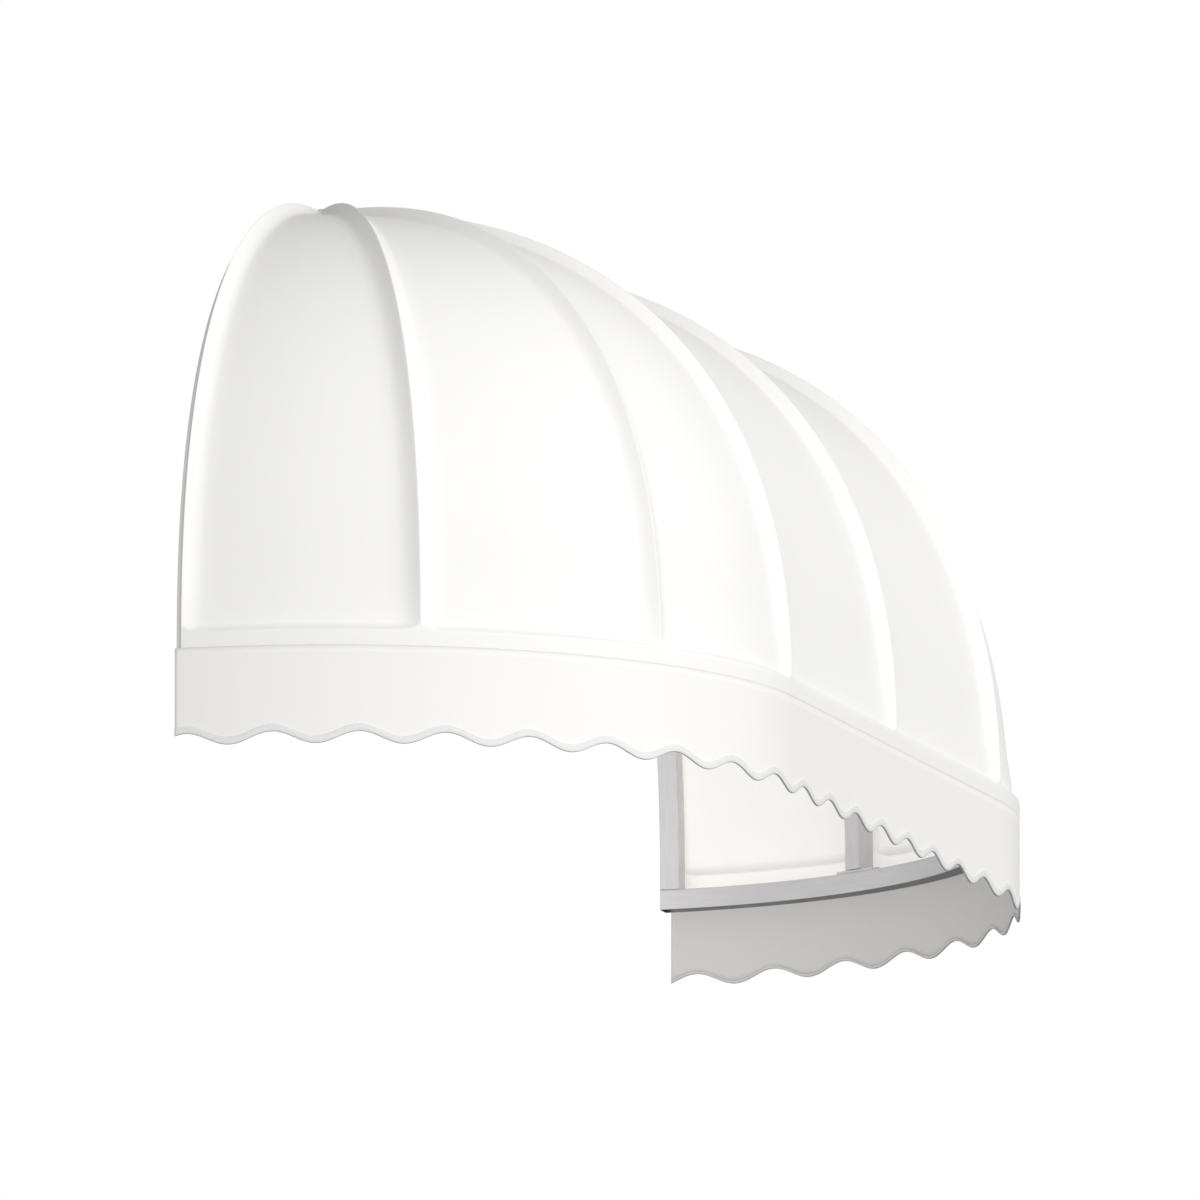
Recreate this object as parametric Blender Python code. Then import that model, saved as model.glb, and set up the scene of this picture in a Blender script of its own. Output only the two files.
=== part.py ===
"""Elongated dome window awning: a fabric cover over a fixed frame of square tube.

The wall is the plane y = 0 and the awning stands out from it along -Y. X runs along the wall and Z up.
The origin is the middle of the header tube's back face, where the frame bears on the wall.
Shapes are worked out above the rim, the line where the cover ends and the valance begins.
"""

import math

import bmesh
import bpy
import numpy as np

# Overall form of the cover, on the crests of its ridges
PROJECTION = 0.610
END_REACH = 0.573
STRAIGHT_LENGTH = 0.870
RISE = 0.630
FULLNESS = 2.29

# Ribs of each rounded end, as angles of the plan ellipse from the wall
END_RIB_ANGLES = (math.radians(28.8), math.radians(60.5))

# Cover fabric: panels sunk between ridges that follow the ribs, the wall and the rim
FABRIC = 0.002
PANEL_DEPTH = 0.014
FLANK = 0.024
WALL_CREST = 0.010
BAND_HEIGHT = 0.020
BAND_FLANK = 0.009
TAIL_LENGTH = 0.024

# Square tube frame
TUBE = 0.0254
TUBE_WALL = 0.0016
FIT = 0.0003
RIB_SETBACK = 0.0015
ARCH_SETBACK = 0.0006

# Foot plates between the ribs and the base rail
PLATE_LENGTH = 0.070
PLATE_THICKNESS = 0.003
PLATE_CORNER = 0.004
PLATE_MARGIN = 0.0015

# Holes for the wall bolts
BOLT_HOLE_RADIUS = 0.0045
HEADER_HOLE_OFFSET = 0.2175
ARCH_HOLE_HEIGHTS = (0.060, 0.340)

# Valance and its binding tape
VALANCE_DROP = 0.1136
SCALLOP_HEIGHT = 0.015
SCALLOP_PITCH = 0.1071
FIRST_CREST = 0.15
VALANCE_FABRIC = 0.0016
WALL_GAP = 0.002
TAPE_WIDTH = 0.0095
TAPE_LIP = 0.0032
TAPE_THICKNESS = 0.0009

# Fineness of the meshes
COVER_ROWS = 12
SCALLOP_STEPS = 6
RIB_STEPS = 12
FLANK_SHARES = (0.3, 0.65, 1.0)
END_PANEL_COLUMNS = 4
FRONT_PANEL_COLUMNS = 1

# Sizes that follow from the others
RAIL_INSET = PANEL_DEPTH + FABRIC + FIT
RIB_INSET = RAIL_INSET + RIB_SETBACK
ARCH_INSET = RAIL_INSET + ARCH_SETBACK
RIM_BELOW_ORIGIN = RISE - ARCH_INSET - TUBE / 2
RAIL_TOP = -(PLATE_THICKNESS + 2 * FIT)
HALF_STRAIGHT = STRAIGHT_LENGTH / 2


def quarter_arc_table():
    """Angles of the plan's quarter ellipse and the length of rim from the wall to each."""
    angle = np.linspace(0.0, math.pi / 2, 721)
    run = np.hypot(np.diff(END_REACH * np.cos(angle)), np.diff(PROJECTION * np.sin(angle)))
    return angle, np.concatenate([[0.0], np.cumsum(run)])


ARC_ANGLE, ARC_LENGTH = quarter_arc_table()
QUARTER = float(ARC_LENGTH[-1])
RIM_LENGTH = 2 * QUARTER + STRAIGHT_LENGTH


def clear_scene():
    for old in list(bpy.data.objects):
        bpy.data.objects.remove(old, do_unlink=True)


def make_material(name, colour, roughness, metallic):
    material = bpy.data.materials.new(name)
    material.use_nodes = True
    shader = material.node_tree.nodes["Principled BSDF"]
    shader.inputs["Base Color"].default_value = (*colour, 1.0)
    shader.inputs["Roughness"].default_value = roughness
    shader.inputs["Metallic"].default_value = metallic
    return material


def make_rim_empty():
    """Empty on the wall at the height of the rim, which carries every piece."""
    empty = bpy.data.objects.new("rim_level", None)
    empty.location = (0.0, 0.0, -RIM_BELOW_ORIGIN)
    bpy.context.scene.collection.objects.link(empty)
    return empty


def add_piece(name, vertices, faces, material, parent, smooth_angle=0.6):
    """One closed body from its points and faces, hung on the rim empty."""
    mesh = bpy.data.meshes.new(name)
    mesh.from_pydata([tuple(map(float, v)) for v in vertices], [], [tuple(map(int, f)) for f in faces])
    body = bmesh.new()
    body.from_mesh(mesh)
    bmesh.ops.remove_doubles(body, verts=body.verts, dist=1e-6)
    bmesh.ops.recalc_face_normals(body, faces=body.faces)
    body.to_mesh(mesh)
    body.free()
    mesh.shade_smooth()
    mesh.set_sharp_from_angle(angle=smooth_angle)
    mesh.materials.append(material)
    piece = bpy.data.objects.new(name, mesh)
    bpy.context.scene.collection.objects.link(piece)
    piece.parent = parent
    return piece


def height_share(reach_share):
    """Share of the rise at a share of the reach: |reach|^n + |height|^n = 1."""
    return (1 - np.clip(reach_share, 0, 1) ** FULLNESS) ** (1 / FULLNESS)


def stations(rim):
    """Plan stations at lengths of rim from the left wall.

    Gives centre x, share of END_REACH and share of PROJECTION.
    """
    rim = np.asarray(rim, float)
    from_wall = np.minimum(rim, RIM_LENGTH - rim)
    angle = np.interp(from_wall, ARC_LENGTH, ARC_ANGLE)
    side = np.where(rim < RIM_LENGTH / 2, -1.0, 1.0)
    on_end = from_wall < QUARTER
    centre = np.where(on_end, side * HALF_STRAIGHT, rim - QUARTER - HALF_STRAIGHT)
    return centre, np.where(on_end, side * np.cos(angle), 0.0), np.where(on_end, np.sin(angle), 1.0)


def plan_points(rim, inset, reach_share=1.0):
    """Points in plan, inset from the cover's outline, at a share of the reach."""
    centre, along, out = stations(rim)
    x = centre + along * (END_REACH - inset) * reach_share
    y = -out * (PROJECTION - inset) * reach_share
    return x, y


def rim_normals(rim, inset):
    """Outward directions in plan at lengths of rim."""
    _, along, out = stations(rim)
    outward = np.stack([along / (END_REACH - inset), -out / (PROJECTION - inset), 0 * out], axis=1)
    return outward / np.linalg.norm(outward, axis=1)[:, None]


def flank_rise(distance, width):
    """0 on a crest, 1 from one flank's width away, steepest at the crest."""
    return 1 - (1 - np.clip(distance / width, 0, 1)) ** 2


def crest_positions():
    """Lengths of rim of the nine ribs, from the left wall arch to the right one."""
    ends = [float(np.interp(a, ARC_ANGLE, ARC_LENGTH)) for a in END_RIB_ANGLES]
    left = [0.0, *ends, QUARTER]
    return left + [RIM_LENGTH / 2] + [RIM_LENGTH - s for s in reversed(left)]


def cover_rows():
    """Rows of the cover above the rim, as shares of the reach."""
    low = [0.0, BAND_HEIGHT, BAND_HEIGHT + BAND_FLANK / 2, BAND_HEIGHT + BAND_FLANK]
    low = [float(height_share(np.array(z / RISE))) for z in low]
    high = [WALL_CREST + FLANK, WALL_CREST + FLANK / 3, WALL_CREST, WALL_CREST / 2, 0.0]
    high = [y / PROJECTION for y in high]
    start = math.asin(float(height_share(np.array(low[-1]))) ** (FULLNESS / 2))
    end = math.acos(high[0] ** (FULLNESS / 2))
    turns = np.linspace(start, end, COVER_ROWS + 2)[1:-1]
    return low + [math.cos(t) ** (2 / FULLNESS) for t in turns] + high


def cover_columns(reach_share, crests):
    """Lengths of rim of one row's columns: dense beside each crest, even between them."""
    columns = []
    last = len(crests) - 2
    for k in range(len(crests) - 1):
        start, end = crests[k], crests[k + 1]
        on_end = end <= QUARTER + 1e-9 or start >= RIM_LENGTH - QUARTER - 1e-9
        scale = max(reach_share, 1e-3) if on_end else 1.0
        width = end - start
        flank = min(FLANK / scale, 0.4 * width)
        near_wall = min(WALL_CREST / scale, 0.2 * width)
        left = near_wall if k == 0 else 0.0
        right = near_wall if k == last else 0.0
        if k == 0:
            columns += [start, start + near_wall / 2]
        columns.append(start + left)
        columns += [start + left + flank * q for q in FLANK_SHARES]
        inner = END_PANEL_COLUMNS if on_end else FRONT_PANEL_COLUMNS
        a, b = start + left + flank, end - right - flank
        columns += [a + (b - a) * (i + 1) / (inner + 1) for i in range(inner)]
        columns += [end - right - flank * q for q in reversed(FLANK_SHARES)]
        if k == last:
            columns += [end - near_wall, end - near_wall / 2, end]
    return np.array(columns)


def panel_inset(rim, reach_share, crests):
    """Depth of the cover below its crests: full in a panel, none on a crest or in the rim band."""
    y = -plan_points(rim, 0.0, reach_share)[1]
    z = RISE * height_share(np.full_like(rim, reach_share))
    depth = flank_rise(y - WALL_CREST, FLANK) * flank_rise(z - BAND_HEIGHT, BAND_FLANK)
    for crest in crests[1:-1]:
        on_end = (rim < QUARTER) | (rim > RIM_LENGTH - QUARTER)
        lateral = np.abs(rim - crest) * np.where(on_end, reach_share, 1.0)
        depth = depth * flank_rise(lateral, FLANK)
    behind = y < WALL_CREST
    return PANEL_DEPTH * np.where(behind, 1 - (y / WALL_CREST) ** 2, depth)


def cover_sheet(side):
    """Grid of points on one face of the cover: side 0 is the outer face and 1 the inner."""
    crests = crest_positions()
    rows = []
    base = cover_columns(1.0, crests)
    thick = FABRIC * side
    tail_inset = PANEL_DEPTH + thick
    for height in (-TAIL_LENGTH, thick):
        x, y = plan_points(base, tail_inset)
        rows.append(np.stack([x, y, np.full_like(x, height)], axis=1))
    for k, share in enumerate(cover_rows()):
        rim = cover_columns(share, crests)
        inset = panel_inset(rim, share, crests) + thick
        x, y = plan_points(rim, inset, share)
        z = (RISE - inset) * height_share(np.full_like(rim, share))
        if k == 0:
            z = np.full_like(rim, thick)
        rows.append(np.stack([x, y, z], axis=1))
    return np.array(rows)


def closed_sheet_faces(rows, columns):
    """Faces of two facing grids joined round their border into one closed body."""
    cell = np.arange(rows * columns).reshape(rows, columns)
    quads = np.stack([cell[:-1, :-1], cell[:-1, 1:], cell[1:, 1:], cell[1:, :-1]], axis=-1).reshape(-1, 4)
    border = np.concatenate([cell[0, :-1], cell[:-1, -1], cell[-1, :0:-1], cell[:0:-1, 0]])
    after = np.roll(border, -1)
    second = rows * columns
    rim = np.stack([after, border, border + second, after + second], axis=1)
    return np.concatenate([quads, quads[:, ::-1] + second, rim])


def make_cover(material, parent):
    """Fabric cover with sunk panels, a band round the rim and a tail that lies on the base rail."""
    outer, inner = cover_sheet(0), cover_sheet(1)
    rows, columns = outer.shape[:2]
    points = np.concatenate([outer.reshape(-1, 3), inner.reshape(-1, 3)])
    return add_piece("cover", points, closed_sheet_faces(rows, columns), material, parent, 0.45)


def tube_faces(count):
    """Faces of a hollow tube of count sections, each an outer square and an inner one."""
    faces = []
    for k in range(count - 1):
        for i in range(4):
            j = (i + 1) % 4
            a, b = 8 * k, 8 * (k + 1)
            faces.append((a + i, a + j, b + j, b + i))
            faces.append((a + 4 + j, a + 4 + i, b + 4 + i, b + 4 + j))
    for a in (0, 8 * (count - 1)):
        for i in range(4):
            j = (i + 1) % 4
            faces.append((a + i, a + j, a + 4 + j, a + 4 + i))
    return faces


def tube_sections(path, outward, across):
    """Corners of the tube at each point of its outer face's middle line."""
    corners = []
    half = TUBE / 2
    for wall in (0.0, TUBE_WALL):
        for depth, side in ((wall, -1), (wall, 1), (TUBE - wall, 1), (TUBE - wall, -1)):
            corners.append(path - outward * depth + across * side * (half - wall))
    return np.stack(corners, axis=1)


def even_shares(last_share):
    """Shares of the reach from the foot of a rib to its upper end, evenly turned."""
    turns = np.linspace(0.0, math.acos(last_share ** (FULLNESS / 2)), RIB_STEPS + 1)
    return np.concatenate([[1.0], np.cos(turns[1:]) ** (2 / FULLNESS)])


def rib_curve(reach, inset, share):
    """A rib's outer edge in its own plane: distance from the hub, height, and the outward normal."""
    top = RISE - inset
    height = height_share(share)
    normal = np.stack([share ** (FULLNESS - 1) / reach, height ** (FULLNESS - 1) / top], axis=1)
    normal /= np.linalg.norm(normal, axis=1)[:, None]
    return reach * share, top * height, normal


def rib_sections(centre_x, direction, reach, end_distance):
    """Sections of a rib that stands in a vertical plane through the wall and stops short of it."""
    run, height, normal = rib_curve(reach, RIB_INSET, even_shares(end_distance / reach))
    away = np.array([direction[0], direction[1], 0.0])
    across = np.array([-direction[1], direction[0], 0.0])
    hub = np.array([centre_x, 0.0, 0.0])
    path = hub + run[:, None] * away + height[:, None] * np.array([0.0, 0.0, 1.0])
    outward = normal[:, :1] * away + normal[:, 1:] * np.array([0.0, 0.0, 1.0])
    return tube_sections(path, outward, across[None, :]), away


def slide_to_plane(points, direction, on_plane, normal):
    """Moves points along a direction until they lie on a plane."""
    gap = (on_plane - points) @ normal
    return points + (gap / (direction @ normal))[:, None] * direction


def end_rib_frame(side, angle):
    """Direction in plan and reach of a rib of a rounded end; side is -1 at the left."""
    along = side * (END_REACH - RIB_INSET) * math.cos(angle)
    outward = -(PROJECTION - RIB_INSET) * math.sin(angle)
    run = np.array([along, outward])
    reach = float(np.hypot(*run))
    return run / reach, reach


def cut_at_wall_tubes(sections, away):
    """Cuts a rib's upper end flat against the front face of the tubes on the wall."""
    plane = np.array([0.0, -(TUBE + FIT), 0.0])
    sections[-1] = slide_to_plane(sections[-1], -away, plane, np.array([0.0, 1.0, 0.0]))
    return sections


def cut_between_ribs(sections, away, centre_x, side):
    """Cuts the second rib's upper end to a wedge that fits between its two neighbours."""
    first, _ = end_rib_frame(side, END_RIB_ANGLES[0])
    beside_first = side * np.array([first[1], -first[0], 0.0])
    beside_first *= np.sign(beside_first @ away)
    hub = np.array([centre_x, 0.0, 0.0])
    last = sections[-1]
    offset = (last - hub) @ np.array([-away[1], away[0], 0.0])
    to_first = offset * side > 0
    first_plane = hub + beside_first * (TUBE / 2 + FIT)
    corner_plane = hub + np.array([side * (TUBE / 2 + FIT), 0.0, 0.0])
    last[to_first] = slide_to_plane(last[to_first], -away, first_plane, beside_first)
    last[~to_first] = slide_to_plane(last[~to_first], -away, corner_plane, np.array([1.0, 0.0, 0.0]))
    return sections


def make_end_rib(name, side, index, material, parent):
    """A rib of a rounded end, from its foot plate up to the cluster over the end's corner rib."""
    direction, reach = end_rib_frame(side, END_RIB_ANGLES[index])
    centre_x = side * HALF_STRAIGHT
    sections, away = rib_sections(centre_x, direction, reach, 4 * TUBE)
    if index == 0:
        sections = cut_at_wall_tubes(sections, away)
    else:
        sections = cut_between_ribs(sections, away, centre_x, side)
    return add_piece(name, sections.reshape(-1, 3), tube_faces(len(sections)), material, parent)


def make_straight_rib(name, centre_x, material, parent):
    """A rib square to the wall, from its foot plate to the header's front face."""
    reach = PROJECTION - RIB_INSET
    sections, away = rib_sections(centre_x, (0.0, -1.0), reach, 2 * TUBE)
    sections = cut_at_wall_tubes(sections, away)
    return add_piece(name, sections.reshape(-1, 3), tube_faces(len(sections)), material, parent)


def make_wall_arch(name, side, material, parent):
    """Tube against the wall, from the end of the base rail up to the end of the header."""
    reach = END_REACH - ARCH_INSET
    run, height, normal = rib_curve(reach, ARCH_INSET, np.array(cover_rows()))
    run, height = np.concatenate([[reach], run]), np.concatenate([[RAIL_TOP + FIT], height])
    normal = np.concatenate([[[1.0, 0.0]], normal])
    run[-1] = FIT
    middle = -TUBE / 2
    path = np.stack([side * (HALF_STRAIGHT + run), np.full_like(run, middle), height], axis=1)
    outward = np.stack([side * normal[:, 0], np.zeros_like(run), normal[:, 1]], axis=1)
    sections = tube_sections(path, outward, np.array([[0.0, 1.0, 0.0]]))
    arch = add_piece(name, sections.reshape(-1, 3), tube_faces(len(sections)), material, parent)
    for hole_height in ARCH_HOLE_HEIGHTS:
        share = float(height_share(np.array(hole_height / (RISE - ARCH_INSET - TUBE / 2))))
        x = side * (HALF_STRAIGHT + (reach - TUBE / 2) * share)
        cut_bolt_hole(arch, x, hole_height, parent)
    return arch


def make_header(material, parent):
    """Straight tube against the wall between the two arches."""
    top = RISE - ARCH_INSET
    ends = np.array([-HALF_STRAIGHT, HALF_STRAIGHT])
    path = np.stack([ends, np.full(2, -TUBE / 2), np.full(2, top)], axis=1)
    up = np.array([[0.0, 0.0, 1.0]])
    sections = tube_sections(path, np.repeat(up, 2, axis=0), np.array([[0.0, 1.0, 0.0]]))
    header = add_piece("header_tube", sections.reshape(-1, 3), tube_faces(2), material, parent)
    for side in (-1, 1):
        cut_bolt_hole(header, side * HEADER_HOLE_OFFSET, top - TUBE / 2, parent)
    return header


def cut_bolt_hole(tube, x, z, parent):
    """Round hole for a wall bolt, straight through a tube along Y."""
    mesh = bpy.data.meshes.new(tube.name + "_hole")
    cutter_body = bmesh.new()
    bmesh.ops.create_cone(
        cutter_body,
        cap_ends=True,
        segments=12,
        radius1=BOLT_HOLE_RADIUS,
        radius2=BOLT_HOLE_RADIUS,
        depth=2 * TUBE,
    )
    cutter_body.to_mesh(mesh)
    cutter_body.free()
    cutter = bpy.data.objects.new(mesh.name, mesh)
    bpy.context.scene.collection.objects.link(cutter)
    cutter.parent = parent
    cutter.location = (x, -TUBE / 2, z)
    cutter.rotation_euler = (math.pi / 2, 0.0, 0.0)
    cutter.hide_render = True
    cutter.display_type = "WIRE"
    cut = tube.modifiers.new("bolt_hole", "BOOLEAN")
    cut.operation = "DIFFERENCE"
    cut.object = cutter


def make_base_rail(material, parent):
    """Square tube bent round the foot of the awning, from wall to wall."""
    rim = cover_columns(1.0, crest_positions())
    x, y = plan_points(rim, RAIL_INSET)
    outward = rim_normals(rim, RAIL_INSET)
    path = np.stack([x, y, np.full_like(x, RAIL_TOP - TUBE / 2)], axis=1)
    sections = tube_sections(path, outward, np.array([[0.0, 0.0, 1.0]]))
    return add_piece("base_rail", sections.reshape(-1, 3), tube_faces(len(sections)), material, parent)


def make_foot_plate(name, rim, material, parent):
    """Flat plate with rounded corners that spreads a rib's foot along the base rail."""
    body = bmesh.new()
    bmesh.ops.create_cube(body, size=1.0)
    size = (PLATE_LENGTH, TUBE - 2 * PLATE_MARGIN, PLATE_THICKNESS)
    bmesh.ops.scale(body, vec=size, verts=body.verts)
    upright = [e for e in body.edges if abs(e.verts[0].co.z - e.verts[1].co.z) > PLATE_THICKNESS / 2]
    bmesh.ops.bevel(body, geom=upright, offset=PLATE_CORNER, segments=3, affect="EDGES")
    mesh = bpy.data.meshes.new(name)
    body.to_mesh(mesh)
    body.free()
    mesh.shade_smooth()
    mesh.set_sharp_from_angle(angle=0.6)
    mesh.materials.append(material)
    plate = bpy.data.objects.new(name, mesh)
    bpy.context.scene.collection.objects.link(plate)
    plate.parent = parent
    outward = rim_normals(np.array([rim]), RAIL_INSET)[0]
    x, y = plan_points(np.array([rim]), RAIL_INSET)
    plate.location = (
        float(x[0] - outward[0] * TUBE / 2),
        float(y[0] - outward[1] * TUBE / 2),
        -(FIT + PLATE_THICKNESS / 2),
    )
    plate.rotation_euler = (0.0, 0.0, math.atan2(outward[1], outward[0]) + math.pi / 2)
    return plate


def scallop_edge(rim):
    """Height of the valance's finished lower edge: a cosine wave along the rim."""
    turn = 2 * math.pi * (rim / SCALLOP_PITCH - FIRST_CREST)
    return -VALANCE_DROP + SCALLOP_HEIGHT / 2 * np.cos(turn)


def valance_positions():
    """Lengths of rim of the valance's columns, a few to each scallop."""
    start, end = WALL_GAP, RIM_LENGTH - WALL_GAP
    count = round((end - start) / SCALLOP_PITCH * SCALLOP_STEPS)
    return np.linspace(start, end, count + 1)


def swept_profile(name, loops, material, parent):
    """Closed body from the corners of its section at each station, in order round the section."""
    corners = len(loops)
    points = np.stack(loops, axis=1)
    count = len(points)
    index = np.arange(count * corners).reshape(count, corners)
    following = np.roll(index, -1, axis=1)
    sides = np.stack([index[:-1], following[:-1], following[1:], index[1:]], axis=-1).reshape(-1, 4)
    faces = [*map(tuple, sides), tuple(index[0]), tuple(index[-1])]
    return add_piece(name, points.reshape(-1, 3), faces, material, parent)


def make_valance(material, parent):
    """Strip of fabric that hangs from the rim, scalloped below."""
    rim = valance_positions()
    low = scallop_edge(rim) + TAPE_THICKNESS + FIT
    high = np.full_like(rim, -FIT)
    loops = []
    for inset, height in ((0.0, high), (0.0, low), (VALANCE_FABRIC, low), (VALANCE_FABRIC, high)):
        x, y = plan_points(rim, inset)
        loops.append(np.stack([x, y, height], axis=1))
    return swept_profile("valance", loops, material, parent)


def make_binding(material, parent):
    """Tape folded over the scalloped edge: wide on the outer face, a narrow lip on the inner one."""
    rim = valance_positions()
    edge = scallop_edge(rim)
    top = edge + TAPE_WIDTH
    lip = edge + TAPE_LIP
    floor = edge + TAPE_THICKNESS
    outer, inner = -(FIT + TAPE_THICKNESS), VALANCE_FABRIC + FIT + TAPE_THICKNESS
    corners = (
        (outer, top),
        (outer, edge),
        (inner, edge),
        (inner, lip),
        (inner - TAPE_THICKNESS, lip),
        (inner - TAPE_THICKNESS, floor),
        (outer + TAPE_THICKNESS, floor),
        (outer + TAPE_THICKNESS, top),
    )
    loops = []
    for inset, height in corners:
        x, y = plan_points(rim, inset)
        loops.append(np.stack([x, y, height], axis=1))
    return swept_profile("valance_binding", loops, material, parent)


def make_frame(material, parent):
    make_header(material, parent)
    make_base_rail(material, parent)
    for side, word in ((-1, "left"), (1, "right")):
        make_wall_arch("wall_arch_" + word, side, material, parent)
        make_end_rib("outer_rib_" + word, side, 0, material, parent)
        make_end_rib("inner_rib_" + word, side, 1, material, parent)
        make_straight_rib("corner_rib_" + word, side * HALF_STRAIGHT, material, parent)
    make_straight_rib("middle_rib", 0.0, material, parent)
    for k, rim in enumerate(crest_positions()[1:-1]):
        make_foot_plate("foot_plate_" + str(k + 1), rim, material, parent)


def main():
    clear_scene()
    rim_level = make_rim_empty()
    fabric = make_material("cover_fabric", (0.90, 0.89, 0.87), 0.85, 0.0)
    tape = make_material("binding_tape", (0.80, 0.79, 0.76), 0.85, 0.0)
    aluminium = make_material("frame_aluminium", (0.70, 0.70, 0.71), 0.38, 0.9)
    make_cover(fabric, rim_level)
    make_valance(fabric, rim_level)
    make_binding(tape, rim_level)
    make_frame(aluminium, rim_level)


main()
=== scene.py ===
"""Looks of the elongated dome window awning: cloth cover, scalloped valance and square tube frame.

The wall is the plane y = 0, the awning stands out along -Y, X runs along the wall and Z up. Heights are
worked out from the rim, the line where the cover ends and the valance begins.
"""

import math

import bmesh
import bpy
import numpy as np
from bpy.props import FloatProperty, FloatVectorProperty, IntProperty, PointerProperty
from bpy.types import Operator, Panel, PropertyGroup
from mathutils import Matrix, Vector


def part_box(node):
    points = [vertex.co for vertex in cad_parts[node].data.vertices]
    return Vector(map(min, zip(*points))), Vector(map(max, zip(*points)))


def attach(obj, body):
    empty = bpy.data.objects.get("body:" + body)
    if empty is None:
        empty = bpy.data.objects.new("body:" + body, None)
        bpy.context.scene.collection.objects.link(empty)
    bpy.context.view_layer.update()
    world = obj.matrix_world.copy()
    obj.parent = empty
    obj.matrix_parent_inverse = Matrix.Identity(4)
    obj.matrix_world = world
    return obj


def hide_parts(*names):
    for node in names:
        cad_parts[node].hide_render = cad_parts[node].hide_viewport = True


bl_info = {
    "name": "Dome window awning",
    "version": (1, 0, 0),
    "blender": (4, 5, 0),
    "location": "3D View > Sidebar > Awning",
    "description": "Cloth cover, scalloped valance and tube frame of a dome window awning",
    "category": "Object",
}

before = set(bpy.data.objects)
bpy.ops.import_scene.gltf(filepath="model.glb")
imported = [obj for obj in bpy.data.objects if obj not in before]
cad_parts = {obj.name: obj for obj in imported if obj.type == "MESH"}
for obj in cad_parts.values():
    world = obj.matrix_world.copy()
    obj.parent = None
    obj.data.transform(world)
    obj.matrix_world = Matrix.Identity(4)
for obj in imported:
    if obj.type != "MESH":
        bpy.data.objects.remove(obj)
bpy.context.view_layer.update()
FIT = 0.0003  # gap between neighbouring pieces
TAIL_GAP = 0.002  # from the cover's tail to the base rail, and the step out to the rim
ARCH_GAP = 0.0006  # how far the arches stand back from the rail's outer face
RIB_GAP = 0.0015  # how far the ribs stand back from the rail's outer face
VALANCE_INSET = 0.0002
BOLT_RADIUS = 0.0045
ARCH_BOLT = 0.340  # height above the rim
HEADER_BOLT = 0.2175  # distance from the middle
COVER_WELD, TUBE_WELD = 2e-6, 1e-7
CRISP_CLOTH, CRISP_TUBE = 1.05, 0.14  # angles past which an edge stays sharp
FLOOR_LEVEL, FLOOR_RADIUS, FLOOR_POINTS = -2.4, 4.0, 96
FADE_START, FADE_END = 1.8, 3.9  # distances over which the floor fades out
LOBE_POWER = 8.0
FILL_PLACE = (0.0, 0.55, 0.20)  # height above the rim
CAMERA_TURN, CAMERA_CLIMB, CAMERA_DISTANCE = 17.52, 9.21, 60.0  # degrees off the wall, degrees up, metres
CAMERA_TARGET = (-0.2498, -0.305, 0.162)  # height above the rim
PIXELS_PER_METRE, PHOTO_WIDTH, SENSOR_WIDTH = 813.4, 1200.0, 36.0
SOFT_LIGHTS = (
    (23, -10, 2.07), (68, -10, 0.64), (112, -10, 0.35),
    (0, 15, 1.40), (90, 15, 2.00), (90, 45, 1.47), (150, 45, 0.60),
    (292, -10, 0.90), (338, -10, 0.20), (270, 15, 0.28),
)  # degrees round from the left end towards the front, degrees up, strength
RIM_LEVEL = float(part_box("valance")[1][2]) + FIT
SIDES = {"left": -1, "right": 1}


def metres(name, description, default):
    return FloatProperty(name=name, description=description, default=default, min=0.0, max=5.0, unit="LENGTH")


def share(name, description, default):
    return FloatProperty(name=name, description=description, default=default, min=0.0, max=1.0, subtype="FACTOR")


def degrees(name, description, default):
    return FloatProperty(name=name, description=description, default=math.radians(default), subtype="ANGLE")


def colour(name, description, default):
    return FloatVectorProperty(
        name=name, description=description, default=default, size=3, min=0.0, max=1.0, subtype="COLOR"
    )


class AwningSizes(PropertyGroup):
    """Sizes of the cover, the valance and the frame."""

    projection: metres("Projection", "How far the cover's ridges stand out from the wall", 0.610)
    end_reach: metres("End reach", "How far each rounded end reaches past the straight part", 0.573)
    straight: metres("Straight part", "Length of the cover between the rounded ends", 0.870)
    rise: metres("Rise", "Height of the cover's ridges above the rim", 0.630)
    fullness: FloatProperty(name="Fullness", description="Exponent of the ribs' curve", default=2.29, min=1.5, max=4.0)
    outer_rib: degrees("Outer rib", "Angle of the outer rib from the wall", 28.8)
    inner_rib: degrees("Inner rib", "Angle of the inner rib from the wall", 60.5)
    panel_depth: metres("Panel depth", "How far the panels sink behind the ridges", 0.014)
    flank: metres("Flank", "Width of a ridge's flank", 0.024)
    crest: metres("Crest", "Softness of a ridge's crest", 0.0012)
    wall_crest: metres("Wall crest", "Distance of the last ridge from the wall", 0.010)
    band: metres("Band", "Height of the full band above the rim", 0.020)
    band_flank: metres("Band flank", "Height of the slope from the band into a panel", 0.011)
    deepening: metres("Deepening", "Height over which a panel reaches its full depth", 0.080)
    cloth: metres("Cloth", "Thickness of the cloth as shown", 0.0012)
    tail: metres("Tail", "Length of cloth turned down over the base rail", 0.024)
    drop: metres("Valance drop", "Mean depth of the valance", 0.1136)
    scallop: metres("Scallop", "Height of a scallop from low to high", 0.015)
    pitch: metres("Scallop pitch", "Length of one scallop along the rim", 0.1071)
    first: share("First crest", "Where the first high point lies, in scallops from the left wall", 0.15)
    tape: metres("Tape", "Width of the binding tape on the outside", 0.0095)
    tube: metres("Tube", "Side of the square tube", 0.0254)
    tube_wall: metres("Tube wall", "Thickness of the tube's wall", 0.0016)
    tube_corner: metres("Tube corner", "Radius of the tube's outer corners", 0.0012)


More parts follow.
